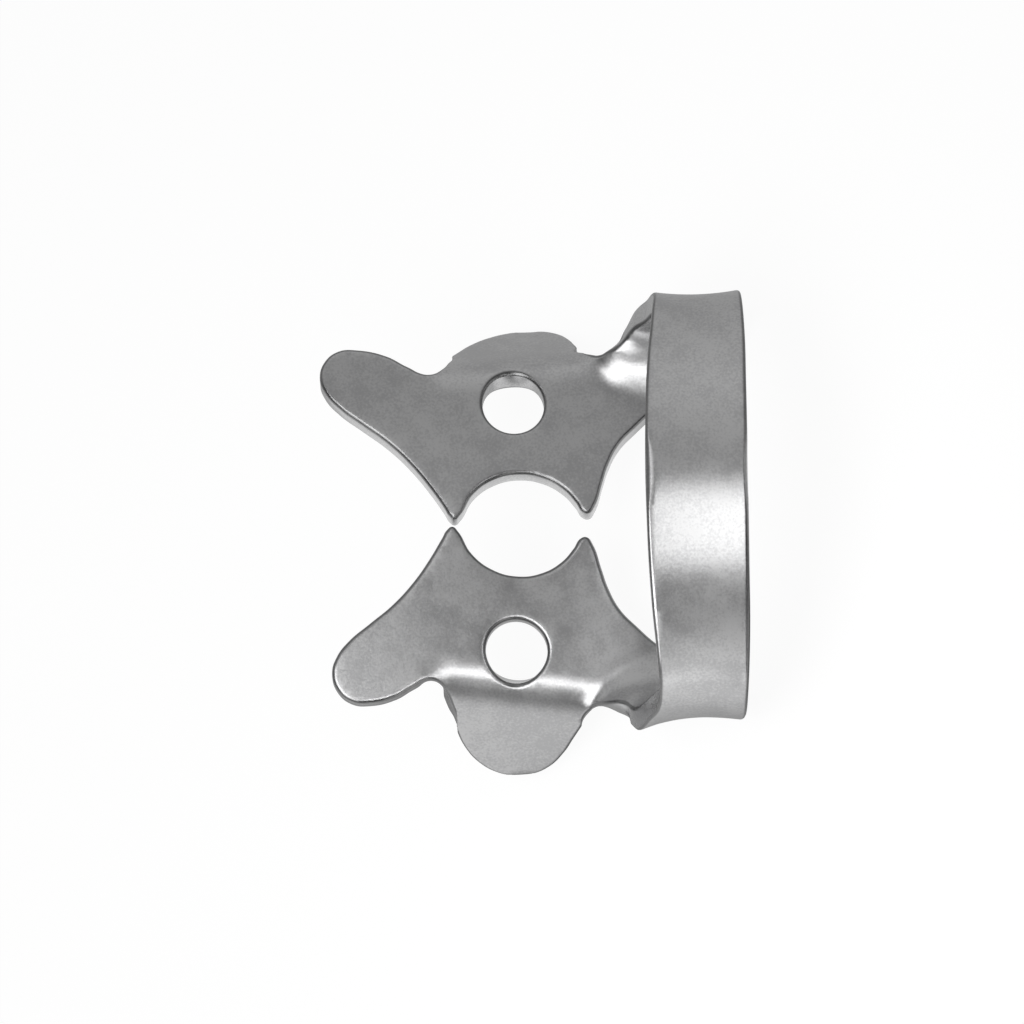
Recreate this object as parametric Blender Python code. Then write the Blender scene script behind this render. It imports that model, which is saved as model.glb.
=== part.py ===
"""Rubber dam clamp: one springy steel strip, punched flat and then formed."""
import bpy
import bmesh
import math
import numpy as np
from mathutils import Vector

MM = 0.001                 # metres

# Sizes, in millimetres.
THICKNESS = 1.1            # of the sheet
EDGE_ROUND = 0.35          # radius that tumbling leaves on every edge
HOLE_DIAMETER = 2.8        # of each forceps hole
HOLE_OUT = 5.75            # hole centre, out from the middle line of the clamp

JAW_SLOPE = math.radians(6.0)      # the jaws fall away toward their outer edges
JAW_TOE = 0.03                     # both jaws stand a little askew to the bow
JAW_TOE_START = 3.5                # where along the clamp that begins
JAW_TOE_EASE = 1.0

EYE_RADIUS = 2.9                   # of the bite between a jaw's two prongs
EYE_DEPTH = 2.37
EYE_CENTRE = 0.28                  # the bite's middle, past the hole centre
PRONG_NEAR = 2.78                  # the two prong tips, along the clamp
PRONG_NEAR_OUT = 0.13              # and out from its middle line
PRONG_FAR = 3.17
PRONG_FAR_OUT = 0.52
PRONG_TIP = 0.27                   # half the width of a tip
PRONG_SHIFT = {1: 0.05, -1: -0.06}

WING_REACH = {1: 8.80, -1: 8.38}   # how far each wing goes, from the hole centre
WING_END_RADIUS = 1.4
WING_END_OUT = 6.95
NOTCH_NEAR = 3.87                  # the notch between wing and lobe
NOTCH_NEAR_OUT = 7.17
NOTCH_FAR = {1: 4.2, -1: 3.82}     # the notch between lobe and neck
NOTCH_FAR_OUT = 8.25
NOTCH_ROUND = 0.5

LOBE_LEAN = {1: 0.6, -1: -0.2}
LOBE_TIP_OUT = 12.45               # measured out along the flat strip
LOBE_ROOT_OUT = 8.3
LOBE_HALF_WIDTH = 3.15
LOBE_START = 6.65                  # where the lobe starts to turn down
LOBE_SKEW = math.radians(6.0)
LOBE_BEND_RADIUS = 1.5
LOBE_DROP = math.radians(52.0)
LOBE_FADE_NEAR = (2.8, 4.4)        # where the turn dies out on either side
LOBE_FADE_FAR = (2.9, 4.3)

BOW_HALF_WIDTH = 9.15              # middle of the sheet, at the widest level of the bow
BOW_WIDE_LEVEL = 4.4
BOW_SHOULDER_RADIUS = 3.5
BOW_TOP_RADIUS = 13.0
BOW_DISTAL = 10.46                 # far edge of the bow strip, from the hole centre
BOW_WIDTH = 4.6                    # of the strip at the top of the bow
BOW_WAIST = 4.08                   # of the strip at its shoulders
BOW_WAIST_OUT = 13.4               # where that is, out along the flat strip
BOW_CURL = 0.3                     # the strip's edges flare as it is bent

NECK_RISE_NEAR = 6.5               # where the strip starts to rise, by the notch
NECK_RISE_FAR = 4.8                # and by the far edge
NECK_NEAR = 4.0
NECK_FAR = 8.5
NECK_FADE = (3.5, 5.0)             # where the rise sets in along the clamp
HEEL = 1.05                        # corner where jaw runs into the bow's far edge
HEEL_OUT = 7.75
SOFTEN = 0.55                      # how gently one bend runs into the next

# Sizes that follow from those.
RIGHT = math.pi / 2
SHOULDER_TURN = math.acos((BOW_HALF_WIDTH - BOW_SHOULDER_RADIUS)
                          / (BOW_TOP_RADIUS - BOW_SHOULDER_RADIUS))
BOW_TOP = (BOW_WIDE_LEVEL + BOW_SHOULDER_RADIUS * math.sin(SHOULDER_TURN)
           + BOW_TOP_RADIUS * (1 - math.sin(SHOULDER_TURN)))
JAW_LEVEL = HOLE_OUT * math.sin(JAW_SLOPE)
BOW_CENTRE = BOW_DISTAL - BOW_WIDTH / 2


def ease(start, stop, at):
    """Goes smoothly from 0 to 1."""
    part = np.clip((at - start) / (stop - start), 0, 1)
    return part * part * (3 - 2 * part)


def rise_start(x):
    """How far out the strip starts to rise into the bow."""
    part = np.clip((x - NECK_NEAR) / (NECK_FAR - NECK_NEAR), 0, 1)
    return NECK_RISE_FAR + (NECK_RISE_NEAR - NECK_RISE_FAR) * (1 - part) ** 1.5


def rise(x):
    """The lower bend of the bow: start, radius, length along the strip and level."""
    out = rise_start(x)
    radius = (BOW_HALF_WIDTH - out) / (1 + math.sin(JAW_SLOPE))
    along = out / math.cos(JAW_SLOPE)
    level = JAW_LEVEL - along * math.sin(JAW_SLOPE)
    bend = radius * (RIGHT + JAW_SLOPE)
    straight = BOW_WIDE_LEVEL - (level + radius * math.cos(JAW_SLOPE))
    return along, out, radius, level, bend, straight


FAR = rise(np.array(NECK_FAR))
WIDE_ALONG = float(FAR[0] + FAR[4] + FAR[5])
STRIP_HALF = (WIDE_ALONG + BOW_SHOULDER_RADIUS * SHOULDER_TURN
              + BOW_TOP_RADIUS * (RIGHT - SHOULDER_TURN))


def jaw_plane(x, v):
    return np.stack([x, v * math.cos(JAW_SLOPE), JAW_LEVEL - v * math.sin(JAW_SLOPE)], -1)


def bow_form(x, v):
    """The strip from the jaw, round the lower bend and shoulder, to the top of the bow."""
    start, out, radius, level, bend, straight = rise(x)
    length = (v - start) * (bend + straight) / (WIDE_ALONG - start)
    turn = np.clip(length / radius, 0, RIGHT + JAW_SLOPE) - JAW_SLOPE
    low_y = out + radius * (np.sin(turn) + math.sin(JAW_SLOPE))
    low_z = level + radius * (math.cos(JAW_SLOPE) - np.cos(turn)) + np.clip(length - bend, 0, None)
    past = np.clip(v - WIDE_ALONG, 0, None)
    first = np.clip(past / BOW_SHOULDER_RADIUS, 0, SHOULDER_TURN)
    mid_y = BOW_HALF_WIDTH - BOW_SHOULDER_RADIUS * (1 - np.cos(first))
    mid_z = BOW_WIDE_LEVEL + BOW_SHOULDER_RADIUS * np.sin(first)
    second = SHOULDER_TURN + (past - BOW_SHOULDER_RADIUS * SHOULDER_TURN) / BOW_TOP_RADIUS
    top_y = BOW_TOP_RADIUS * np.cos(second)
    top_z = BOW_TOP - BOW_TOP_RADIUS * (1 - np.sin(second))
    flat = v <= start
    low = v <= WIDE_ALONG
    mid = past <= BOW_SHOULDER_RADIUS * SHOULDER_TURN
    y = np.where(flat, v * math.cos(JAW_SLOPE), np.where(low, low_y, np.where(mid, mid_y, top_y)))
    z = np.where(flat, JAW_LEVEL - v * math.sin(JAW_SLOPE),
                 np.where(low, low_z, np.where(mid, mid_z, top_z)))
    return np.stack([x, y, z], -1)


def lobe_form(x, v):
    """The lobe beyond the hole, turned down about a slightly skew line."""
    away = (v - LOBE_START - x * math.tan(LOBE_SKEW)) * math.cos(LOBE_SKEW)
    turn = np.clip(away / LOBE_BEND_RADIUS, 0, LOBE_DROP)
    rest = np.clip(away - LOBE_BEND_RADIUS * LOBE_DROP, 0, None)
    reach = LOBE_BEND_RADIUS * np.sin(turn) + rest * math.cos(LOBE_DROP)
    reach = np.where(away < 0, away, reach)
    drop = LOBE_BEND_RADIUS * (1 - np.cos(turn)) + rest * math.sin(LOBE_DROP)
    drop = np.where(away < 0, 0, drop)
    base = jaw_plane(x - (reach - away) * math.sin(LOBE_SKEW),
                     v + (reach - away) * math.cos(LOBE_SKEW))
    down = np.array([0, math.sin(JAW_SLOPE), math.cos(JAW_SLOPE)])
    return base - drop[..., None] * down


def half_form(x, v):
    """Middle of the sheet for one half of the clamp, before its toe."""
    plane = jaw_plane(x, v)
    lobe = (1 - ease(*LOBE_FADE_NEAR, -x)) * (1 - ease(*LOBE_FADE_FAR, x))
    bow = ease(*NECK_FADE, x)
    return (plane + lobe[..., None] * (lobe_form(x, v) - plane)
            + bow[..., None] * (bow_form(x, v) - plane))


def sheet_middle(x, q):
    """Middle of the sheet; q runs along the strip from the top of the bow."""
    total = 0
    shares = {-1: 0.11, -0.5: 0.22, 0: 0.34, 0.5: 0.22, 1: 0.11}
    for step, share in shares.items():
        at = q + step * SOFTEN
        side = np.where(at >= 0, 1.0, -1.0)
        point = half_form(x, STRIP_HALF - np.abs(at))
        point[..., 1] *= side
        total = total + point * share
    back = (JAW_TOE_START - x) / JAW_TOE_EASE
    toe = np.where(back > 1, back, np.where(back < -1, 0, (back + 1) ** 2 / 4)) * JAW_TOE_EASE
    total[..., 1] += JAW_TOE * toe
    return total


def sheet_normal(x, q):
    step = THICKNESS / 1000
    across = sheet_middle(x + step, q) - sheet_middle(x - step, q)
    along = sheet_middle(x, q + step) - sheet_middle(x, q - step)
    normal = np.cross(across, along)
    return normal / np.linalg.norm(normal, axis=-1)[..., None]


def formed(x, q, height):
    """Where a point of the flat strip goes when the clamp is formed."""
    normal = sheet_normal(x, q)
    span = BOW_SHOULDER_RADIUS / 4
    turn = np.einsum("...i,...i", sheet_normal(x, q + span), sheet_normal(x, q - span))
    bend = np.arccos(np.clip(turn, -1, 1)) / (2 * span)
    on_neck = ease(NECK_FADE[1] - EDGE_ROUND, NECK_FADE[1] + EDGE_ROUND, x)
    on_bow = ease(NOTCH_FAR_OUT, BOW_WAIST_OUT - BOW_SHOULDER_RADIUS, STRIP_HALF - np.abs(q))
    flare = BOW_CURL * bend * on_neck * on_bow * (x - BOW_CENTRE) ** 2 / 2
    return sheet_middle(x, q) + normal * (height + flare)[..., None]


# The flat outline, as it is punched from sheet.
def on_circle(centre, radius, degrees):
    turn = math.radians(degrees)
    return (centre[0] + radius * math.cos(turn), centre[1] + radius * math.sin(turn))


def beside(start, end, share, side):
    """A point part of the way from start to end, and to the left of that line."""
    dx, dv = end[0] - start[0], end[1] - start[1]
    return (start[0] + dx * share - dv * side, start[1] + dv * share + dx * side)


def round_corner(start, end, share, fullness):
    """A point on a corner that leaves start along the clamp and reaches end outward."""
    rise = 1 - (1 - share ** fullness) ** (1 / fullness)
    return (start[0] + (end[0] - start[0]) * share, start[1] + (end[1] - start[1]) * rise)


def lobe_point(side, share, across):
    """A point on the lobe's outline: share 0 at its root, 1 at its tip."""
    v = LOBE_ROOT_OUT + (LOBE_TIP_OUT - LOBE_ROOT_OUT) * share
    return (LOBE_HALF_WIDTH * across + LOBE_LEAN[side] * share, v)


def bow_near_edge(side):
    """From the top of the bow to the far notch."""
    crown = BOW_DISTAL - BOW_WIDTH
    waist = (BOW_DISTAL - BOW_WAIST, BOW_WAIST_OUT)
    notch = (NOTCH_FAR[side], NOTCH_FAR_OUT)
    points = []
    for share, inward in ((0.23, 0.07), (0.55, 0.35), (0.82, 0.8)):
        v = STRIP_HALF + (waist[1] - STRIP_HALF) * share
        points.append((crown + (waist[0] - crown) * inward, v))
    points.append(waist)
    points += [round_corner(notch, waist, share, 1.6) for share in (0.96, 0.8, 0.56, 0.37, 0.18, 0)]
    return points


def lobe_edge(side):
    """From the far notch round the lobe to the near one."""
    points = [(NOTCH_FAR[side] - 0.75 * NOTCH_ROUND, NOTCH_FAR_OUT + 0.25 * NOTCH_ROUND)]
    for share, across in ((0.12, 1.0), (0.38, 0.83), (0.62, 0.68), (0.84, 0.47), (0.97, 0.2),
                          (1.0, -0.04), (0.96, -0.3), (0.82, -0.56), (0.6, -0.76),
                          (0.3, -0.9), (0.02, -1.0)):
        points.append(lobe_point(side, share, across))
    points.append((-NOTCH_NEAR + NOTCH_ROUND, NOTCH_NEAR_OUT + 0.65 * NOTCH_ROUND))
    points.append((-NOTCH_NEAR, NOTCH_NEAR_OUT))
    return points


def wing_edge(side):
    """From the near notch round the wing to the near prong."""
    centre = (-WING_REACH[side] + WING_END_RADIUS, WING_END_OUT)
    end = [on_circle(centre, WING_END_RADIUS, degrees) for degrees in (78, 112, 146, 180, 213)]
    notch = (-NOTCH_NEAR, NOTCH_NEAR_OUT)
    points = [beside(notch, end[0], 0.29, -0.01), beside(notch, end[0], 0.6, -0.055)] + end
    prong = (-PRONG_NEAR - 1.75 * PRONG_TIP + PRONG_SHIFT[side], PRONG_NEAR_OUT + 2 * PRONG_TIP)
    for share, side_way in ((0.13, 0.008), (0.29, -0.016), (0.48, -0.045), (0.67, -0.048),
                            (0.845, -0.029), (1.0, 0.0)):
        points.append(beside(end[-1], prong, share, -side_way))
    return points


def eye_edge(side):
    """The two prong tips and the bite between them."""
    shift = PRONG_SHIFT[side]
    near, far = -PRONG_NEAR + shift, PRONG_FAR + shift
    points = [
        (near - 0.93 * PRONG_TIP, PRONG_NEAR_OUT + 0.6 * PRONG_TIP),
        (near, PRONG_NEAR_OUT),
        (near + PRONG_TIP, PRONG_NEAR_OUT + 0.85 * PRONG_TIP),
    ]
    centre = (EYE_CENTRE + shift, EYE_DEPTH - EYE_RADIUS)
    points += [on_circle(centre, EYE_RADIUS, degrees) for degrees in (140, 116, 92, 70, 50, 33)]
    points += [
        (far - 0.55 * PRONG_TIP, PRONG_FAR_OUT + 0.26 * PRONG_TIP),
        (far + 0.55 * PRONG_TIP, PRONG_FAR_OUT),
        (far + 1.52 * PRONG_TIP, PRONG_FAR_OUT + 1.2 * PRONG_TIP),
    ]
    return points


def bow_far_edge(side):
    """From the far prong along the hidden inner edge to the bow's far edge."""
    shift = PRONG_SHIFT[side]
    start = (PRONG_FAR + 1.6 * PRONG_TIP + shift, PRONG_FAR_OUT + 1.4 * PRONG_TIP)
    heel = (BOW_DISTAL - HEEL, HEEL_OUT)
    points = [beside(start, heel, share, side_way)
              for share, side_way in ((0.12, 0.049), (0.21, 0.086), (0.33, 0.114), (0.46, 0.108),
                                      (0.58, 0.094), (0.71, 0.063), (0.86, 0.024))]
    top = (BOW_DISTAL - 0.1 * HEEL, BOW_WAIST_OUT)
    points += [round_corner(heel, top, share, 2.0) for share in (0, 0.66, 0.86)]
    points.append(top)
    for share in (0.3, 0.6, 0.85):
        points.append((BOW_DISTAL, BOW_WAIST_OUT + (STRIP_HALF - BOW_WAIST_OUT) * share))
    return points


def half_outline(side):
    """Outline of one half of the flat strip, from the top of the bow round the jaw."""
    return (bow_near_edge(side) + lobe_edge(side) + wing_edge(side) + eye_edge(side)
            + bow_far_edge(side))


def new_collection(name):
    group = bpy.data.collections.new(name)
    bpy.context.scene.collection.children.link(group)
    return group


def flat_strip(group):
    """The punched strip with rounded edges, as a mesh object."""
    data = bpy.data.curves.new("flat_strip", "CURVE")
    data.dimensions = "2D"
    data.fill_mode = "BOTH"
    data.extrude = THICKNESS / 2 - EDGE_ROUND
    data.bevel_depth = EDGE_ROUND
    data.bevel_resolution = 1
    data.offset = -EDGE_ROUND
    upper = [(x, STRIP_HALF - v) for x, v in half_outline(1)]
    lower = [(x, v - STRIP_HALF) for x, v in reversed(half_outline(-1))]
    outline = upper + lower
    spline = data.splines.new("BEZIER")
    spline.bezier_points.add(len(outline) - 1)
    for knot, (x, q) in zip(spline.bezier_points, outline):
        knot.co = (x, q, 0)
        knot.handle_left_type = "AUTO"
        knot.handle_right_type = "AUTO"
    spline.use_cyclic_u = True
    spline.resolution_u = 3
    for side in (1, -1):
        hole = data.splines.new("POLY")
        count = 24
        hole.points.add(count - 1)
        for k, knot in enumerate(hole.points):
            turn = 2 * math.pi * k / count
            x = HOLE_DIAMETER / 2 * math.cos(turn)
            q = HOLE_DIAMETER / 2 * math.sin(turn)
            knot.co = (x, side * (STRIP_HALF - HOLE_OUT) + q, 0, 1)
        hole.use_cyclic_u = True
    curve = bpy.data.objects.new("flat_strip", data)
    group.objects.link(curve)
    bpy.context.view_layer.update()
    mesh = bpy.data.meshes.new_from_object(curve.evaluated_get(bpy.context.evaluated_depsgraph_get()))
    strip = bpy.data.objects.new("clamp", mesh)
    group.objects.link(strip)
    strip.matrix_world = curve.matrix_world
    bpy.data.objects.remove(curve)
    return strip


def slice_mesh(bm, point, direction, keep):
    """Cuts the faces that keep() accepts along one plane, so that they can bend there."""
    faces = [f for f in bm.faces if keep(f.calc_center_median())]
    edges = {e for f in faces for e in f.edges}
    verts = {v for f in faces for v in f.verts}
    done = bmesh.ops.bisect_plane(bm, geom=list(verts) + list(edges) + faces, dist=0.02,
                                  plane_co=point, plane_no=direction)
    for item in done["geom_cut"]:
        if isinstance(item, bmesh.types.BMEdge):
            item.seam = True


def slice_for_bending(bm):
    neck = LOBE_FADE_FAR[0]
    wing = -LOBE_FADE_NEAR[0]
    bow_from = STRIP_HALF - NECK_RISE_FAR + SOFTEN
    for x in np.linspace(neck, BOW_DISTAL - EDGE_ROUND, 12):
        slice_mesh(bm, (x, 0, 0), (1, 0, 0), lambda c: c.x > neck - EDGE_ROUND)
    for x in np.linspace(-LOBE_FADE_NEAR[1], wing, 6):
        slice_mesh(bm, (x, 0, 0), (1, 0, 0), lambda c: c.x < wing + EDGE_ROUND)
    for q in np.linspace(-bow_from, bow_from, 47):
        slice_mesh(bm, (0, q, 0), (0, 1, 0), lambda c: c.x > neck)
    arc = LOBE_BEND_RADIUS * LOBE_DROP / math.cos(LOBE_SKEW)
    for side in (1, -1):
        away = Vector((-math.sin(LOBE_SKEW), -side * math.cos(LOBE_SKEW), 0))
        for k in range(-3, 11):
            v = LOBE_START + arc * k / 7
            slice_mesh(bm, (0, side * (STRIP_HALF - v), 0), away,
                       lambda c, s=side: s * c.y > 0 and c.x < LOBE_FADE_FAR[1])


def form(strip):
    """Bends the flat strip into the clamp."""
    bm = bmesh.new()
    bm.from_mesh(strip.data)
    bmesh.ops.remove_doubles(bm, verts=bm.verts, dist=0.0001)
    slice_for_bending(bm)
    bmesh.ops.dissolve_limit(bm, angle_limit=math.radians(0.1), verts=bm.verts,
                             edges=bm.edges, delimit={"SEAM"})
    bmesh.ops.triangulate(bm, faces=[f for f in bm.faces if len(f.verts) > 4])
    bmesh.ops.triangulate(bm, faces=bm.faces)
    bm.verts.ensure_lookup_table()
    flat = np.array([v.co[:] for v in bm.verts])
    bent = formed(flat[:, 0], flat[:, 1], flat[:, 2])
    for vert, place in zip(bm.verts, bent):
        vert.co = place * MM
    bmesh.ops.recalc_face_normals(bm, faces=bm.faces)
    bm.to_mesh(strip.data)
    bm.free()


def rest(strip):
    """Lays the clamp down as it comes to rest, bow up, on lobes and bow bottoms."""
    places = np.array([v.co[:] for v in strip.data.vertices])
    lobes = places[places[:, 0] < NECK_NEAR * MM]
    bow = places[places[:, 0] > NECK_NEAR * MM]
    low, high = 0.0, math.radians(40)
    for _ in range(40):
        tilt = (low + high) / 2
        level = [np.min(p[:, 2] * math.cos(tilt) - p[:, 0] * math.sin(tilt)) for p in (lobes, bow)]
        if level[0] < level[1]:
            low = tilt
        else:
            high = tilt
    x = places[:, 0] * math.cos(tilt) + places[:, 2] * math.sin(tilt)
    z = places[:, 2] * math.cos(tilt) - places[:, 0] * math.sin(tilt)
    y = places[:, 1]
    centre = [(a.min() + a.max()) / 2 for a in (x, y)]
    for k, vert in enumerate(strip.data.vertices):
        vert.co = (x[k] - centre[0], y[k] - centre[1], z[k] - z.min())
    return tilt


def steel():
    material = bpy.data.materials.new("satin_stainless_steel")
    material.use_nodes = True
    shader = material.node_tree.nodes["Principled BSDF"]
    shader.inputs["Base Color"].default_value = (0.60, 0.60, 0.61, 1)
    shader.inputs["Metallic"].default_value = 1.0
    shader.inputs["Roughness"].default_value = 0.33
    return material


def main():
    for thing in list(bpy.data.objects):
        bpy.data.objects.remove(thing)
    group = new_collection("rubber_dam_clamp")
    strip = flat_strip(group)
    form(strip)
    rest(strip)
    strip.data.materials.clear()
    strip.data.materials.append(steel())
    bpy.ops.object.select_all(action="DESELECT")
    strip.select_set(True)
    bpy.context.view_layer.objects.active = strip
    bpy.ops.object.shade_smooth()
    strip.data.set_sharp_from_angle(angle=math.radians(35))


main()
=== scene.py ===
"""The looks of the rubber dam clamp: fine satin steel with tumbled edges."""

import bpy
import bmesh
import math
import numpy as np
from mathutils import Matrix, Vector

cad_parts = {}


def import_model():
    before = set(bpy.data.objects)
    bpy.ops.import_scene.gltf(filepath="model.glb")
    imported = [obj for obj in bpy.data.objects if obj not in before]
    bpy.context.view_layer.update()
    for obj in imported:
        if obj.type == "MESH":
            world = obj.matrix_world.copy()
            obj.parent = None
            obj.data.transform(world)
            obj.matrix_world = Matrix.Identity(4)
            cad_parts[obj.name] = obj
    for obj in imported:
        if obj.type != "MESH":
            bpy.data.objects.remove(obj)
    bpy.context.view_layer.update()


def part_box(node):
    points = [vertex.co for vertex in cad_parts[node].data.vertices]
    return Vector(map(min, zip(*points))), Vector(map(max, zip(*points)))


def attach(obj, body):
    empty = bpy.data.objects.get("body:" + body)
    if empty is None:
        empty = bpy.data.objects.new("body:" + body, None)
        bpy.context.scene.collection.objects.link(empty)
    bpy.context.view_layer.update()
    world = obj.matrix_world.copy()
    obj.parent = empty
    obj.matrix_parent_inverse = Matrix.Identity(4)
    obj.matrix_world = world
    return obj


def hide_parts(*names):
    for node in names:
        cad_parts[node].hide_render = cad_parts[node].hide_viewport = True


MM = 0.001                 # metres

# Sizes, in millimetres.
THICKNESS = 1.1            # of the sheet
EDGE_ROUND = 0.35          # radius that tumbling leaves on every edge
HOLE_DIAMETER = 2.8        # of each forceps hole
HOLE_OUT = 5.75            # hole centre, out from the middle line of the clamp

JAW_SLOPE = math.radians(6.0)      # the jaws fall away toward their outer edges
JAW_TOE = 0.03                     # both jaws stand a little askew to the bow
JAW_TOE_START = 3.5                # where along the clamp that begins
JAW_TOE_EASE = 1.0

EYE_RADIUS = 2.9                   # of the bite between a jaw's two prongs
EYE_DEPTH = 2.37
EYE_CENTRE = 0.28                  # the bite's middle, past the hole centre
PRONG_NEAR = 2.78                  # the two prong tips, along the clamp
PRONG_NEAR_OUT = 0.13              # and out from its middle line
PRONG_FAR = 3.17
PRONG_FAR_OUT = 0.52
PRONG_TIP = 0.27                   # half the width of a tip
PRONG_SHIFT = {1: 0.05, -1: -0.06}

WING_REACH = {1: 8.80, -1: 8.38}   # how far each wing goes, from the hole centre
WING_END_RADIUS = 1.4
WING_END_OUT = 6.95
NOTCH_NEAR = 3.87                  # the notch between wing and lobe
NOTCH_NEAR_OUT = 7.17
NOTCH_FAR = {1: 4.2, -1: 3.82}     # the notch between lobe and neck
NOTCH_FAR_OUT = 8.25
NOTCH_ROUND = 0.5

LOBE_LEAN = {1: 0.6, -1: -0.2}
LOBE_TIP_OUT = 12.45               # measured out along the flat strip
LOBE_ROOT_OUT = 8.3
LOBE_HALF_WIDTH = 3.15
LOBE_START = 6.65                  # where the lobe starts to turn down
LOBE_SKEW = math.radians(6.0)
LOBE_BEND_RADIUS = 1.5
LOBE_DROP = math.radians(52.0)
LOBE_FADE_NEAR = (2.8, 4.4)        # where the turn dies out on either side
LOBE_FADE_FAR = (2.9, 4.3)

BOW_HALF_WIDTH = 9.15              # middle of the sheet, at the widest level of the bow
BOW_WIDE_LEVEL = 4.4
BOW_SHOULDER_RADIUS = 3.5
BOW_TOP_RADIUS = 13.0
BOW_DISTAL = 10.46                 # far edge of the bow strip, from the hole centre
BOW_WIDTH = 4.6                    # of the strip at the top of the bow
BOW_WAIST = 4.08                   # of the strip at its shoulders
BOW_WAIST_OUT = 13.4               # where that is, out along the flat strip
BOW_CURL = 0.3                     # the strip's edges flare as it is bent

NECK_RISE_NEAR = 6.5               # where the strip starts to rise, by the notch
NECK_RISE_FAR = 4.8                # and by the far edge
NECK_NEAR = 4.0
NECK_FAR = 8.5
NECK_FADE = (3.5, 5.0)             # where the rise sets in along the clamp
HEEL = 1.05                        # corner where jaw runs into the bow's far edge
HEEL_OUT = 7.75
SOFTEN = 0.55                      # how gently one bend runs into the next

# Sizes that follow from those.
RIGHT = math.pi / 2
SHOULDER_TURN = math.acos((BOW_HALF_WIDTH - BOW_SHOULDER_RADIUS)
                          / (BOW_TOP_RADIUS - BOW_SHOULDER_RADIUS))
BOW_TOP = (BOW_WIDE_LEVEL + BOW_SHOULDER_RADIUS * math.sin(SHOULDER_TURN)
           + BOW_TOP_RADIUS * (1 - math.sin(SHOULDER_TURN)))
JAW_LEVEL = HOLE_OUT * math.sin(JAW_SLOPE)
BOW_CENTRE = BOW_DISTAL - BOW_WIDTH / 2


def ease(start, stop, at):
    """Goes smoothly from 0 to 1."""
    part = np.clip((at - start) / (stop - start), 0, 1)
    return part * part * (3 - 2 * part)


def rise_start(x):
    """How far out the strip starts to rise into the bow."""
    part = np.clip((x - NECK_NEAR) / (NECK_FAR - NECK_NEAR), 0, 1)
    return NECK_RISE_FAR + (NECK_RISE_NEAR - NECK_RISE_FAR) * (1 - part) ** 1.5


def rise(x):
    """The lower bend of the bow: start, radius, length along the strip and level."""
    out = rise_start(x)
    radius = (BOW_HALF_WIDTH - out) / (1 + math.sin(JAW_SLOPE))
    along = out / math.cos(JAW_SLOPE)
    level = JAW_LEVEL - along * math.sin(JAW_SLOPE)
    bend = radius * (RIGHT + JAW_SLOPE)
    straight = BOW_WIDE_LEVEL - (level + radius * math.cos(JAW_SLOPE))
    return along, out, radius, level, bend, straight


FAR = rise(np.array(NECK_FAR))
WIDE_ALONG = float(FAR[0] + FAR[4] + FAR[5])
STRIP_HALF = (WIDE_ALONG + BOW_SHOULDER_RADIUS * SHOULDER_TURN
              + BOW_TOP_RADIUS * (RIGHT - SHOULDER_TURN))


def jaw_plane(x, v):
    return np.stack([x, v * math.cos(JAW_SLOPE), JAW_LEVEL - v * math.sin(JAW_SLOPE)], -1)


def bow_form(x, v):
    """The strip from the jaw, round the lower bend and shoulder, to the top of the bow."""
    start, out, radius, level, bend, straight = rise(x)
    length = (v - start) * (bend + straight) / (WIDE_ALONG - start)
    turn = np.clip(length / radius, 0, RIGHT + JAW_SLOPE) - JAW_SLOPE
    low_y = out + radius * (np.sin(turn) + math.sin(JAW_SLOPE))
    low_z = level + radius * (math.cos(JAW_SLOPE) - np.cos(turn)) + np.clip(length - bend, 0, None)
    past = np.clip(v - WIDE_ALONG, 0, None)
    first = np.clip(past / BOW_SHOULDER_RADIUS, 0, SHOULDER_TURN)
    mid_y = BOW_HALF_WIDTH - BOW_SHOULDER_RADIUS * (1 - np.cos(first))
    mid_z = BOW_WIDE_LEVEL + BOW_SHOULDER_RADIUS * np.sin(first)
    second = SHOULDER_TURN + (past - BOW_SHOULDER_RADIUS * SHOULDER_TURN) / BOW_TOP_RADIUS
    top_y = BOW_TOP_RADIUS * np.cos(second)
    top_z = BOW_TOP - BOW_TOP_RADIUS * (1 - np.sin(second))
    flat = v <= start
    low = v <= WIDE_ALONG
    mid = past <= BOW_SHOULDER_RADIUS * SHOULDER_TURN
    y = np.where(flat, v * math.cos(JAW_SLOPE), np.where(low, low_y, np.where(mid, mid_y, top_y)))
    z = np.where(flat, JAW_LEVEL - v * math.sin(JAW_SLOPE),
                 np.where(low, low_z, np.where(mid, mid_z, top_z)))
    return np.stack([x, y, z], -1)


def lobe_form(x, v):
    """The lobe beyond the hole, turned down about a slightly skew line."""
    away = (v - LOBE_START - x * math.tan(LOBE_SKEW)) * math.cos(LOBE_SKEW)
    turn = np.clip(away / LOBE_BEND_RADIUS, 0, LOBE_DROP)
    rest = np.clip(away - LOBE_BEND_RADIUS * LOBE_DROP, 0, None)
    reach = LOBE_BEND_RADIUS * np.sin(turn) + rest * math.cos(LOBE_DROP)
    reach = np.where(away < 0, away, reach)
    drop = LOBE_BEND_RADIUS * (1 - np.cos(turn)) + rest * math.sin(LOBE_DROP)
    drop = np.where(away < 0, 0, drop)
    base = jaw_plane(x - (reach - away) * math.sin(LOBE_SKEW),
                     v + (reach - away) * math.cos(LOBE_SKEW))
    down = np.array([0, math.sin(JAW_SLOPE), math.cos(JAW_SLOPE)])
    return base - drop[..., None] * down


def half_form(x, v):
    """Middle of the sheet for one half of the clamp, before its toe."""
    plane = jaw_plane(x, v)
    lobe = (1 - ease(*LOBE_FADE_NEAR, -x)) * (1 - ease(*LOBE_FADE_FAR, x))
    bow = ease(*NECK_FADE, x)
    return (plane + lobe[..., None] * (lobe_form(x, v) - plane)
            + bow[..., None] * (bow_form(x, v) - plane))


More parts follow.
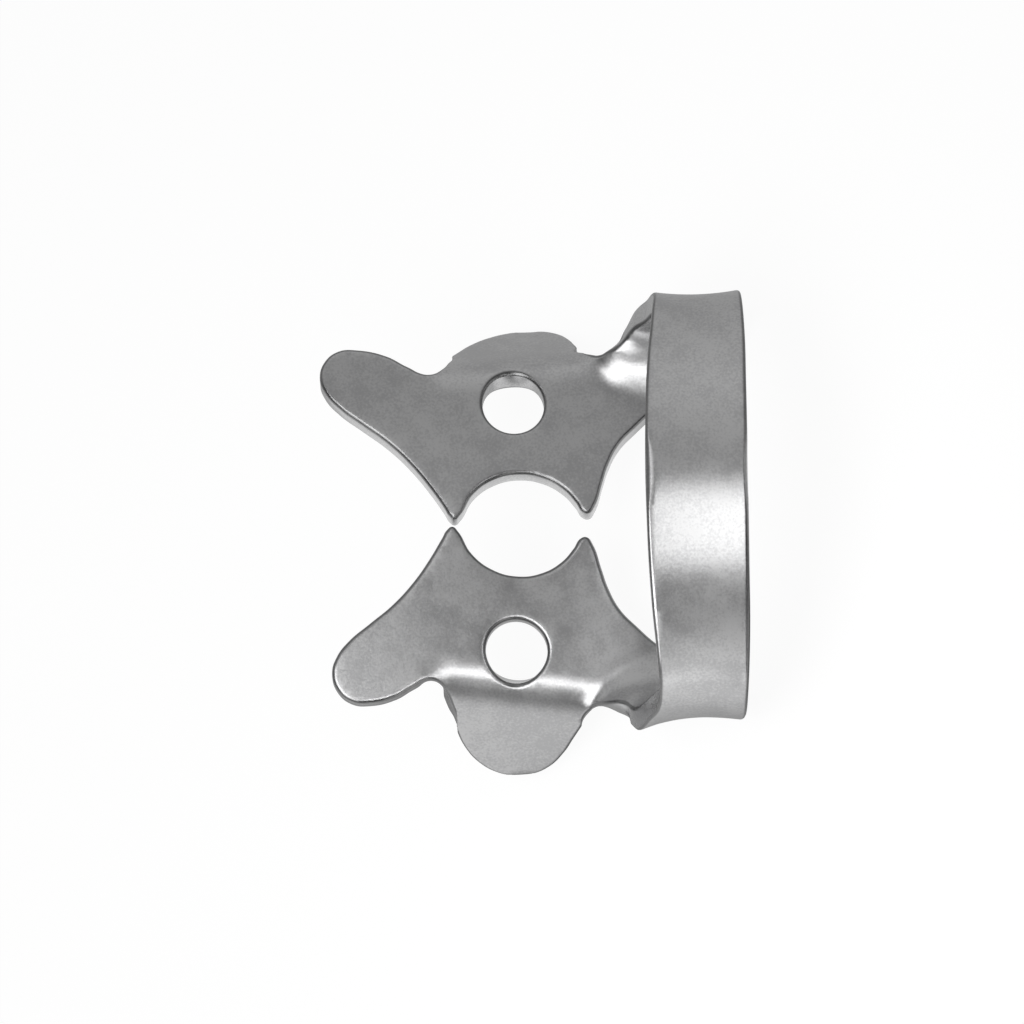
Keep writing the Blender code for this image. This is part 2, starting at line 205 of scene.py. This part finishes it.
def sheet_middle(x, q):
    """Middle of the sheet; q runs along the strip from the top of the bow."""
    total = 0
    shares = {-1: 0.11, -0.5: 0.22, 0: 0.34, 0.5: 0.22, 1: 0.11}
    for step, share in shares.items():
        at = q + step * SOFTEN
        side = np.where(at >= 0, 1.0, -1.0)
        point = half_form(x, STRIP_HALF - np.abs(at))
        point[..., 1] *= side
        total = total + point * share
    back = (JAW_TOE_START - x) / JAW_TOE_EASE
    toe = np.where(back > 1, back, np.where(back < -1, 0, (back + 1) ** 2 / 4)) * JAW_TOE_EASE
    total[..., 1] += JAW_TOE * toe
    return total


def sheet_normal(x, q):
    step = THICKNESS / 1000
    across = sheet_middle(x + step, q) - sheet_middle(x - step, q)
    along = sheet_middle(x, q + step) - sheet_middle(x, q - step)
    normal = np.cross(across, along)
    return normal / np.linalg.norm(normal, axis=-1)[..., None]


def formed(x, q, height):
    """Where a point of the flat strip goes when the clamp is formed."""
    normal = sheet_normal(x, q)
    span = BOW_SHOULDER_RADIUS / 4
    turn = np.einsum("...i,...i", sheet_normal(x, q + span), sheet_normal(x, q - span))
    bend = np.arccos(np.clip(turn, -1, 1)) / (2 * span)
    on_neck = ease(NECK_FADE[1] - EDGE_ROUND, NECK_FADE[1] + EDGE_ROUND, x)
    on_bow = ease(NOTCH_FAR_OUT, BOW_WAIST_OUT - BOW_SHOULDER_RADIUS, STRIP_HALF - np.abs(q))
    flare = BOW_CURL * bend * on_neck * on_bow * (x - BOW_CENTRE) ** 2 / 2
    return sheet_middle(x, q) + normal * (height + flare)[..., None]


# The flat outline, as it is punched from sheet.
def on_circle(centre, radius, degrees):
    turn = math.radians(degrees)
    return (centre[0] + radius * math.cos(turn), centre[1] + radius * math.sin(turn))


def beside(start, end, share, side):
    """A point part of the way from start to end, and to the left of that line."""
    dx, dv = end[0] - start[0], end[1] - start[1]
    return (start[0] + dx * share - dv * side, start[1] + dv * share + dx * side)


def round_corner(start, end, share, fullness):
    """A point on a corner that leaves start along the clamp and reaches end outward."""
    rise = 1 - (1 - share ** fullness) ** (1 / fullness)
    return (start[0] + (end[0] - start[0]) * share, start[1] + (end[1] - start[1]) * rise)


def lobe_point(side, share, across):
    """A point on the lobe's outline: share 0 at its root, 1 at its tip."""
    v = LOBE_ROOT_OUT + (LOBE_TIP_OUT - LOBE_ROOT_OUT) * share
    return (LOBE_HALF_WIDTH * across + LOBE_LEAN[side] * share, v)


def bow_near_edge(side):
    """From the top of the bow to the far notch."""
    crown = BOW_DISTAL - BOW_WIDTH
    waist = (BOW_DISTAL - BOW_WAIST, BOW_WAIST_OUT)
    notch = (NOTCH_FAR[side], NOTCH_FAR_OUT)
    points = []
    for share, inward in ((0.23, 0.07), (0.55, 0.35), (0.82, 0.8)):
        v = STRIP_HALF + (waist[1] - STRIP_HALF) * share
        points.append((crown + (waist[0] - crown) * inward, v))
    points.append(waist)
    points += [round_corner(notch, waist, share, 1.6) for share in (0.96, 0.8, 0.56, 0.37, 0.18, 0)]
    return points


def lobe_edge(side):
    """From the far notch round the lobe to the near one."""
    points = [(NOTCH_FAR[side] - 0.75 * NOTCH_ROUND, NOTCH_FAR_OUT + 0.25 * NOTCH_ROUND)]
    for share, across in ((0.12, 1.0), (0.38, 0.83), (0.62, 0.68), (0.84, 0.47), (0.97, 0.2),
                          (1.0, -0.04), (0.96, -0.3), (0.82, -0.56), (0.6, -0.76),
                          (0.3, -0.9), (0.02, -1.0)):
        points.append(lobe_point(side, share, across))
    points.append((-NOTCH_NEAR + NOTCH_ROUND, NOTCH_NEAR_OUT + 0.65 * NOTCH_ROUND))
    points.append((-NOTCH_NEAR, NOTCH_NEAR_OUT))
    return points


def wing_edge(side):
    """From the near notch round the wing to the near prong."""
    centre = (-WING_REACH[side] + WING_END_RADIUS, WING_END_OUT)
    end = [on_circle(centre, WING_END_RADIUS, degrees) for degrees in (78, 112, 146, 180, 213)]
    notch = (-NOTCH_NEAR, NOTCH_NEAR_OUT)
    points = [beside(notch, end[0], 0.29, -0.01), beside(notch, end[0], 0.6, -0.055)] + end
    prong = (-PRONG_NEAR - 1.75 * PRONG_TIP + PRONG_SHIFT[side], PRONG_NEAR_OUT + 2 * PRONG_TIP)
    for share, side_way in ((0.13, 0.008), (0.29, -0.016), (0.48, -0.045), (0.67, -0.048),
                            (0.845, -0.029), (1.0, 0.0)):
        points.append(beside(end[-1], prong, share, -side_way))
    return points


def eye_edge(side):
    """The two prong tips and the bite between them."""
    shift = PRONG_SHIFT[side]
    near, far = -PRONG_NEAR + shift, PRONG_FAR + shift
    points = [
        (near - 0.93 * PRONG_TIP, PRONG_NEAR_OUT + 0.6 * PRONG_TIP),
        (near, PRONG_NEAR_OUT),
        (near + PRONG_TIP, PRONG_NEAR_OUT + 0.85 * PRONG_TIP),
    ]
    centre = (EYE_CENTRE + shift, EYE_DEPTH - EYE_RADIUS)
    points += [on_circle(centre, EYE_RADIUS, degrees) for degrees in (140, 116, 92, 70, 50, 33)]
    points += [
        (far - 0.55 * PRONG_TIP, PRONG_FAR_OUT + 0.26 * PRONG_TIP),
        (far + 0.55 * PRONG_TIP, PRONG_FAR_OUT),
        (far + 1.52 * PRONG_TIP, PRONG_FAR_OUT + 1.2 * PRONG_TIP),
    ]
    return points


def bow_far_edge(side):
    """From the far prong along the hidden inner edge to the bow's far edge."""
    shift = PRONG_SHIFT[side]
    start = (PRONG_FAR + 1.6 * PRONG_TIP + shift, PRONG_FAR_OUT + 1.4 * PRONG_TIP)
    heel = (BOW_DISTAL - HEEL, HEEL_OUT)
    points = [beside(start, heel, share, side_way)
              for share, side_way in ((0.12, 0.049), (0.21, 0.086), (0.33, 0.114), (0.46, 0.108),
                                      (0.58, 0.094), (0.71, 0.063), (0.86, 0.024))]
    top = (BOW_DISTAL - 0.1 * HEEL, BOW_WAIST_OUT)
    points += [round_corner(heel, top, share, 2.0) for share in (0, 0.66, 0.86)]
    points.append(top)
    for share in (0.3, 0.6, 0.85):
        points.append((BOW_DISTAL, BOW_WAIST_OUT + (STRIP_HALF - BOW_WAIST_OUT) * share))
    return points


def half_outline(side):
    """Outline of one half of the flat strip, from the top of the bow round the jaw."""
    return (bow_near_edge(side) + lobe_edge(side) + wing_edge(side) + eye_edge(side)
            + bow_far_edge(side))


# The picture.
PICTURE = 1024                       # pixels a side
PIXELS_PER_MM = 22.0
VIEW_LEAN = math.radians(15.0)       # of the line of sight, from square to the jaws
VIEW_ROLL = math.radians(0.8)
HOLE_LINE_AT = (514.4, 531.5)        # pixel of the point midway between the forceps holes
CAMERA_AWAY = 0.6                    # metres
CAMERA_SEES = (0.05, 10)             # metres, from the nearest to the farthest
SENSOR = 36.0

# The shape as it shows, in millimetres.
RIM_ROUND = 0.20                     # radius of the edges
RIM_STEPS = 4                        # how finely they are rounded
CURVE_STEPS = 10                     # from one point of the outline to the next
HOLE_STEPS = 96                      # round each forceps hole
SLICE = 0.3                          # the flat strip is divided this finely, both ways
SLICE_ALONG = (-8.7, 10.4)           # between the wings' tips and the bow's far edge
SLICE_FIRST = 0.2                    # from the middle line of the clamp to the first one across
WELD = 0.0001                        # points closer than this are one
ON_CUT = 0.01                        # points closer than this to a cut lie on it
STRAIGHT = math.radians(0.1)         # an edge that turns less than this is left out
STEEPEST = math.radians(40)          # the most that the clamp could lean
HALVINGS = 40                        # to find how far it does
INSIDE = 0.000002                    # metres that the shape keeps inside the solid's box
SETTLED_UP = 0.00002                 # metres that the shape is raised in that box


def flat_strip():
    """The punched strip with rounded edges, as a mesh."""
    data = bpy.data.curves.new("flat_strip", "CURVE")
    data.dimensions = "2D"
    data.fill_mode = "BOTH"
    data.extrude = THICKNESS / 2 - RIM_ROUND
    data.bevel_depth = RIM_ROUND
    data.bevel_resolution = RIM_STEPS
    data.offset = -RIM_ROUND
    upper = [(x, STRIP_HALF - v) for x, v in half_outline(1)]
    lower = [(x, v - STRIP_HALF) for x, v in reversed(half_outline(-1))]
    outline = upper + lower
    spline = data.splines.new("BEZIER")
    spline.bezier_points.add(len(outline) - 1)
    for knot, (x, q) in zip(spline.bezier_points, outline):
        knot.co = (x, q, 0)
        knot.handle_left_type = "AUTO"
        knot.handle_right_type = "AUTO"
    spline.use_cyclic_u = True
    spline.resolution_u = CURVE_STEPS
    for side in (1, -1):
        hole = data.splines.new("POLY")
        hole.points.add(HOLE_STEPS - 1)
        for k, knot in enumerate(hole.points):
            turn = 2 * math.pi * k / HOLE_STEPS
            x = HOLE_DIAMETER / 2 * math.cos(turn)
            q = HOLE_DIAMETER / 2 * math.sin(turn)
            knot.co = (x, side * (STRIP_HALF - HOLE_OUT) + q, 0, 1)
        hole.use_cyclic_u = True
    curve = bpy.data.objects.new("flat_strip", data)
    bpy.context.scene.collection.objects.link(curve)
    bpy.context.view_layer.update()
    drawn = curve.evaluated_get(bpy.context.evaluated_depsgraph_get())
    mesh = bpy.data.meshes.new_from_object(drawn)
    bpy.data.objects.remove(curve)
    return mesh


def cut_along(bm, point, direction):
    """Divides all the faces that one plane crosses."""
    geometry = list(bm.verts) + list(bm.edges) + list(bm.faces)
    bmesh.ops.bisect_plane(bm, geom=geometry, dist=ON_CUT, plane_co=point, plane_no=direction)


def fine_clamp():
    """The formed clamp with a finer mesh than the solid's, in the solid's place."""
    mesh = flat_strip()
    bm = bmesh.new()
    bm.from_mesh(mesh)
    bmesh.ops.remove_doubles(bm, verts=bm.verts, dist=WELD)
    bmesh.ops.dissolve_limit(bm, angle_limit=STRAIGHT, verts=bm.verts, edges=bm.edges)
    for x in np.arange(*SLICE_ALONG, SLICE):
        cut_along(bm, (x, 0, 0), (1, 0, 0))
    for q in np.arange(-STRIP_HALF + SLICE_FIRST, STRIP_HALF, SLICE):
        cut_along(bm, (0, q, 0), (0, 1, 0))
    bmesh.ops.triangulate(bm, faces=[f for f in bm.faces if len(f.verts) > 4])
    flat = np.array([v.co[:] for v in bm.verts])
    place = settle(formed(flat[:, 0], flat[:, 1], flat[:, 2]))
    low, high = (np.array(c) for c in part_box("clamp"))
    place = place + (low + high - place.min(0) - place.max(0)) / 2
    place[:, 2] += SETTLED_UP
    place = np.clip(place, low + INSIDE, high - INSIDE)
    strip_height = bm.verts.layers.float.new("strip_height")
    for vert, p, height in zip(bm.verts, place, flat[:, 2]):
        vert.co = p
        vert[strip_height] = height
    bmesh.ops.recalc_face_normals(bm, faces=bm.faces)
    bm.to_mesh(mesh)
    bm.free()
    mesh.materials.clear()
    clamp = bpy.data.objects.new("clamp_form", mesh)
    bpy.context.scene.collection.objects.link(clamp)
    for polygon in mesh.polygons:
        polygon.use_smooth = True
    return clamp


def rest_tilt(places):
    """How far the clamp leans when it lies on its lobes and the bottoms of its bow."""
    lobes = places[places[:, 0] < NECK_NEAR]
    bow = places[places[:, 0] > NECK_NEAR]
    low, high = 0.0, STEEPEST
    for _ in range(HALVINGS):
        tilt = (low + high) / 2
        level = [np.min(p[:, 2] * math.cos(tilt) - p[:, 0] * math.sin(tilt)) for p in (lobes, bow)]
        if level[0] < level[1]:
            low = tilt
        else:
            high = tilt
    return tilt


TILT = {}                            # how the clamp lies: its angle and its own frame's origin


def leaned(p):
    """A place or direction in the clamp's own frame, as it is once the clamp lies down."""
    c, s = math.cos(TILT["angle"]), math.sin(TILT["angle"])
    return np.stack([p[..., 0] * c + p[..., 2] * s, p[..., 1], p[..., 2] * c - p[..., 0] * s], -1)


def settle(places):
    """Lays the clamp down and keeps where its own frame's origin went."""
    TILT["angle"] = rest_tilt(places)
    down = leaned(places) * MM
    low, high = down.min(0), down.max(0)
    TILT["origin"] = -np.array([(low[0] + high[0]) / 2, (low[1] + high[1]) / 2, low[2]])
    return down + TILT["origin"]


def in_world(p):
    """A place in the clamp's own frame, in millimetres, as it is in the scene."""
    return Vector(leaned(np.array(p, float)) * MM + TILT["origin"])


# The steel and the floor.
def node(tree, kind, at, **settings):
    made = tree.nodes.new(kind)
    made.location = at
    for name, value in settings.items():
        setattr(made, name, value)
    return made


def noise(tree, vector, fineness, detail, at):
    made = node(tree, "ShaderNodeTexNoise", at)
    made.inputs["Scale"].default_value = fineness
    made.inputs["Detail"].default_value = detail
    tree.links.new(vector, made.inputs["Vector"])
    return made.outputs["Fac"]


def remap(tree, value, start, stop, to_start, to_stop, at):
    """Takes start to to_start and stop to to_stop, and goes no further than those."""
    made = node(tree, "ShaderNodeMapRange", at)
    made.inputs["From Min"].default_value = start
    made.inputs["From Max"].default_value = stop
    made.inputs["To Min"].default_value = to_start
    made.inputs["To Max"].default_value = to_stop
    tree.links.new(value, made.inputs["Value"])
    return made.outputs["Result"]


def maths(tree, operation, first, second, at):
    made = node(tree, "ShaderNodeMath", at, operation=operation)
    for k, value in enumerate((first, second)):
        if isinstance(value, (int, float)):
            made.inputs[k].default_value = value
        else:
            tree.links.new(value, made.inputs[k])
    return made.outputs[0]


STEEL_DARK = (0.46, 0.46, 0.465, 1)
STEEL_PALE = (0.56, 0.56, 0.562, 1)
RIM_PAINTED_SHADE = (0.4, 0.4, 0.4, 1)        # painted shade: a thin dark line where a face turns into its edge, standing in for the dark reflection there
CLOUDS = (1100, 4)                   # how fine and how detailed, of this and the next three
PATCHES = (380, 3)
GRAIN = (9000, 2)
PITS = (4200, 3)
GRAIN_SPREAD = (0.3, 0.7)            # where the grain counts as least and as most
SPECKLE = 0.34                       # how far that moves the tone, either way
TONE_SPREAD = (0.75, 1.25)           # clouds, patches and speckle, for dark and for pale steel
ROUGH_SPREAD = (0.7, 1.3)            # clouds and patches, for the smoothest and the roughest
ROUGH = (0.29, 0.34)
EDGE_SMOOTHER = 0.05                 # how much less rough the rounded edges are
EDGE_WORN = (0.12, 0.005)            # millimetres below a face where that is full, and nothing
RIM_SHADE_BAND = (0.03, 0.003)             # the same for the painted dark line
GRAIN_RELIEF = 0.5                   # of the grain, next to the pits
RELIEF = 0.22
RELIEF_DEPTH = 0.00002               # metres


def satin_steel():
    """Tumbled stainless steel: fine pits, faint cloudy patches, smoother on its rounded edges, and a
    painted dark line where each face meets its rounded edge.
    """
    material = bpy.data.materials.new("satin_stainless_steel")
    material.use_nodes = True
    tree = material.node_tree
    shader = tree.nodes["Principled BSDF"]
    shader.inputs["Metallic"].default_value = 1.0
    where = node(tree, "ShaderNodeTexCoord", (-1400, 0)).outputs["Object"]
    clouds = noise(tree, where, *CLOUDS, (-1200, 300))
    patches = noise(tree, where, *PATCHES, (-1200, 100))
    grain = noise(tree, where, *GRAIN, (-1200, -100))
    pits = noise(tree, where, *PITS, (-1200, -300))
    height = node(tree, "ShaderNodeAttribute", (-1200, -500), attribute_name="strip_height")
    depth = maths(tree, "ABSOLUTE", height.outputs["Fac"], 0, (-1000, -500))
    face = THICKNESS / 2
    edge = remap(tree, depth, face - EDGE_WORN[0], face - EDGE_WORN[1], 1, 0, (-800, -500))
    inner = remap(tree, depth, face - RIM_ROUND, face - 0.5 * RIM_ROUND, 0, 1, (-800, -700))
    outer = remap(tree, depth, face - RIM_SHADE_BAND[0], face - RIM_SHADE_BAND[1], 1, 0, (-800, -900))
    rim_shade_mask = maths(tree, "MULTIPLY", inner, outer, (-600, -700))
    mottle = maths(tree, "ADD", clouds, patches, (-900, 200))
    speckle = remap(tree, grain, *GRAIN_SPREAD, -SPECKLE, SPECKLE, (-900, 0))
    mottled = maths(tree, "ADD", mottle, speckle, (-750, 250))
    tone = remap(tree, mottled, *TONE_SPREAD, 0, 1, (-600, 200))
    blend = node(tree, "ShaderNodeMix", (-450, 250), data_type="RGBA")
    blend.inputs["A"].default_value = STEEL_DARK
    blend.inputs["B"].default_value = STEEL_PALE
    tree.links.new(tone, blend.inputs["Factor"])
    # painted shade: darkens the base colour in a thin line along every rim
    rim_painted_shade = node(tree, "ShaderNodeMix", (-250, 250), data_type="RGBA", blend_type="MULTIPLY")
    rim_painted_shade.inputs["B"].default_value = RIM_PAINTED_SHADE
    tree.links.new(rim_shade_mask, rim_painted_shade.inputs["Factor"])
    tree.links.new(blend.outputs["Result"], rim_painted_shade.inputs["A"])
    tree.links.new(rim_painted_shade.outputs["Result"], shader.inputs["Base Color"])
    rough = remap(tree, mottle, *ROUGH_SPREAD, *ROUGH, (-700, 0))
    worn = maths(tree, "MULTIPLY", edge, EDGE_SMOOTHER, (-600, -400))
    rough = maths(tree, "SUBTRACT", rough, worn, (-450, 0))
    tree.links.new(rough, shader.inputs["Roughness"])
    fine = maths(tree, "MULTIPLY", grain, GRAIN_RELIEF, (-900, -150))
    relief = maths(tree, "ADD", fine, pits, (-700, -200))
    bump = node(tree, "ShaderNodeBump", (-300, -250))
    bump.inputs["Strength"].default_value = RELIEF
    bump.inputs["Distance"].default_value = RELIEF_DEPTH
    tree.links.new(relief, bump.inputs["Height"])
    tree.links.new(bump.outputs["Normal"], shader.inputs["Normal"])
    return material


FLOOR_HALF = 1.5                     # metres
FLOOR_PALE = (0.9, 0.9, 0.9, 1)
FLOOR_LIFT = 0.90                    # how much of the floor's white the camera sees unshaded
FLOOR_GLOW = 1.03                    # and how white that is

# Painted reflection: how bright the floor glows in the steel's reflections only, by millimetres
# across it; its dips are painted shade near the clamp.
FLOOR_PAINTED_REFLECTION = (
    (-26, 1.05), (-16, 0.88), (-12, 0.62), (-10, 0.45), (-7, 0.3),
    (-4, 0.6), (-1, 1.0), (3, 1.0), (5, 0.6), (9, 0.5), (13, 0.5),
)


def ramp(tree, value, stops, at):
    """A grey scale whose stops are pairs of place, 0 to 1, and brightness."""
    made = node(tree, "ShaderNodeValToRGB", at)
    tree.links.new(value, made.inputs["Fac"])
    grey = made.color_ramp.elements
    while len(grey) < len(stops):
        grey.new(0.5)
    for stop, (place, bright) in zip(grey, stops):
        stop.position = place
        stop.color = (bright, bright, bright, 1)
    return made.outputs["Color"]


def floor_white():
    """A pale floor that the camera sees as near white, with the clamp's soft shadow kept; in the
    steel's reflections it shows painted bands of light and shade instead.
    """
    material = bpy.data.materials.new("pale_floor")
    material.use_nodes = True
    tree = material.node_tree
    tree.nodes.clear()
    out = node(tree, "ShaderNodeOutputMaterial", (600, 0))
    matt = node(tree, "ShaderNodeBsdfDiffuse", (0, 100))
    matt.inputs["Color"].default_value = FLOOR_PALE
    path = node(tree, "ShaderNodeLightPath", (-900, 300))
    place = node(tree, "ShaderNodeTexCoord", (-1100, -100)).outputs["Object"]
    split = node(tree, "ShaderNodeSeparateXYZ", (-900, -100))
    tree.links.new(place, split.inputs[0])
    first, last = FLOOR_PAINTED_REFLECTION[0][0], FLOOR_PAINTED_REFLECTION[-1][0]
    across = remap(tree, split.outputs["Y"], first * MM, last * MM, 0, 1, (-700, -100))
    stops = [((y - first) / (last - first), bright) for y, bright in FLOOR_PAINTED_REFLECTION]
    painted_reflection_grey = ramp(tree, across, stops, (-500, -100))
    # painted reflection: the glow that glossy rays see in place of the lit floor
    painted_reflection_glow = node(tree, "ShaderNodeEmission", (0, -300))
    tree.links.new(painted_reflection_grey, painted_reflection_glow.inputs["Color"])
    painted_reflection_glow.inputs["Strength"].default_value = 1.0
    lift = node(tree, "ShaderNodeEmission", (0, -100))
    lift.inputs["Color"].default_value = (1, 1, 1, 1)
    lift.inputs["Strength"].default_value = FLOOR_GLOW
    seen = maths(tree, "MULTIPLY", path.outputs["Is Camera Ray"], FLOOR_LIFT, (-250, 300))
    gloss = maths(tree, "MAXIMUM", path.outputs["Is Glossy Ray"], path.outputs["Is Transmission Ray"],
                  (-250, 450))
    shaded = node(tree, "ShaderNodeMixShader", (200, 100))
    tree.links.new(seen, shaded.inputs["Fac"])
    tree.links.new(matt.outputs[0], shaded.inputs[1])
    tree.links.new(lift.outputs[0], shaded.inputs[2])
    mix = node(tree, "ShaderNodeMixShader", (400, 0))
    tree.links.new(gloss, mix.inputs["Fac"])
    tree.links.new(shaded.outputs[0], mix.inputs[1])
    tree.links.new(painted_reflection_glow.outputs[0], mix.inputs[2])
    tree.links.new(mix.outputs[0], out.inputs["Surface"])
    return material


def floor():
    half = FLOOR_HALF
    mesh = bpy.data.meshes.new("floor")
    mesh.from_pydata([(-half, -half, 0), (half, -half, 0), (half, half, 0), (-half, half, 0)],
                     [], [(0, 1, 2, 3)])
    mesh.materials.append(floor_white())
    made = bpy.data.objects.new("floor", mesh)
    bpy.context.scene.collection.objects.link(made)


# The light. Places are in the clamp's own frame, in millimetres, and a glow of 1 is white.
LAMPS = (                            # name, place, what it is aimed at, width, depth and glow
    ("over_bow", (9.4, -4.1, 22), (9.4, -4.1, 9), 6, 10.4, 2.3),
    ("behind_bow", (9.4, 12, 22), (9.4, 2, 9), 6, 16, 0.12),
    ("beside_bow", (9, -30, 16), (9, -9, 5), 10, 20, 0.95),
    ("over_fold", (-1.7, -16.5, 23), (0, -7, 0), 12, 7, 3.4),
    ("front_left", (-57, -43, 80), (5, 5, 1), 62, 116, 2.9),
    ("over_neck", (-7, 8, 30), (5.5, 6.5, 1), 9, 9, 1.0),
    ("over_wing", (-11, -8, 32), (-8, -6, 1), 10, 12, 1.0),
)

# How bright the surroundings are, by degrees from the clamp's own up: the front is negative.
SKY = (
    (-180, 0.6), (-100, 0.9), (-90, 0.65), (-80, 0.3), (-66, 0.13), (-56, 0.05),
    (-42, 0.05), (-25, 0.1), (0, 0.04), (15, 0.27), (27, 0.38), (45, 0.54),
    (66, 0.62), (85, 0.48), (110, 0.5), (180, 0.5),
)
SKY_BEYOND = 0.3                     # share of that left, beyond the bow
SKY_DIMS = (0.3, 0.8)                # how much toward the bow it starts and ends to dim


def soft_lamp(name, at, aim, wide, deep, glow):
    """A rectangular soft lamp."""
    data = bpy.data.lights.new(name, "AREA")
    data.shape = "RECTANGLE"
    data.size = wide * MM
    data.size_y = deep * MM
    data.energy = glow * math.pi * data.size * data.size_y
    lamp = bpy.data.objects.new(name, data)
    bpy.context.scene.collection.objects.link(lamp)
    place = in_world(at)
    away = (place - in_world(aim)).normalized()
    across = in_world((1, 0, 0)) - in_world((0, 0, 0))
    across = (across - away * across.dot(away)).normalized()
    deep_way = away.cross(across)
    lamp.visible_camera = False
    lamp.matrix_world = Matrix([[across[k], deep_way[k], away[k], place[k]] for k in range(3)]
                               + [[0, 0, 0, 1]])


def toward(tree, where, axis, at):
    """How much a direction points along an axis of the clamp's own frame."""
    made = node(tree, "ShaderNodeVectorMath", at, operation="DOT_PRODUCT")
    tree.links.new(where, made.inputs[0])
    made.inputs[1].default_value = [float(c) for c in leaned(np.array(axis, float))]
    return made.outputs["Value"]


def sky():
    """Even studio surroundings: paler low down in front, darker half way up."""
    world = bpy.data.worlds.new("studio")
    world.use_nodes = True
    tree = world.node_tree
    back = tree.nodes["Background"]
    where = node(tree, "ShaderNodeTexCoord", (-1200, 0)).outputs["Generated"]
    upward = toward(tree, where, (0, 0, 1), (-1000, 0))
    backward = toward(tree, where, (0, 1, 0), (-1000, -200))
    bow_ward = toward(tree, where, (1, 0, 0), (-1000, -400))
    angle = maths(tree, "ARCTAN2", backward, upward, (-800, 0))
    share = remap(tree, angle, -math.pi, math.pi, 0, 1, (-600, 0))
    stops = [((degrees + 180) / 360, bright) for degrees, bright in SKY]
    tree.links.new(ramp(tree, share, stops, (-400, 0)), back.inputs["Color"])
    dim = remap(tree, bow_ward, *SKY_DIMS, 1, SKY_BEYOND, (-600, -400))
    tree.links.new(dim, back.inputs["Strength"])
    bpy.context.scene.world = world


def lights():
    sky()
    for lamp in LAMPS:
        soft_lamp(*lamp)


def camera():
    """Looks down on the jaws, with the bow to the right."""
    lean, roll = VIEW_LEAN, VIEW_ROLL
    back = np.array([0, -math.sin(lean), math.cos(lean)])
    level_right = np.array([1.0, 0, 0])
    level_up = np.cross(back, level_right)
    right = level_right * math.cos(roll) - level_up * math.sin(roll)
    up = level_right * math.sin(roll) + level_up * math.cos(roll)
    mid = (PICTURE / 2 - np.array(HOLE_LINE_AT)) / PIXELS_PER_MM
    aim = in_world(right * mid[0] - up * mid[1])
    data = bpy.data.cameras.new("camera")
    data.sensor_width = SENSOR
    wide = PICTURE / PIXELS_PER_MM * MM
    data.lens = SENSOR * CAMERA_AWAY / wide
    data.clip_start, data.clip_end = CAMERA_SEES
    made = bpy.data.objects.new("camera", data)
    bpy.context.scene.collection.objects.link(made)
    axes = [Vector(leaned(a)) for a in (right, up, back)]
    made.matrix_world = Matrix([[a[k] for a in axes] + [(aim + axes[2] * CAMERA_AWAY)[k]]
                                for k in range(3)] + [[0, 0, 0, 1]])
    bpy.context.scene.camera = made


def main():
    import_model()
    clamp = fine_clamp()
    clamp.data.materials.append(satin_steel())
    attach(clamp, "root")
    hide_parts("clamp")
    floor()
    lights()
    camera()
    bpy.context.scene.view_settings.view_transform = "Standard"


main()
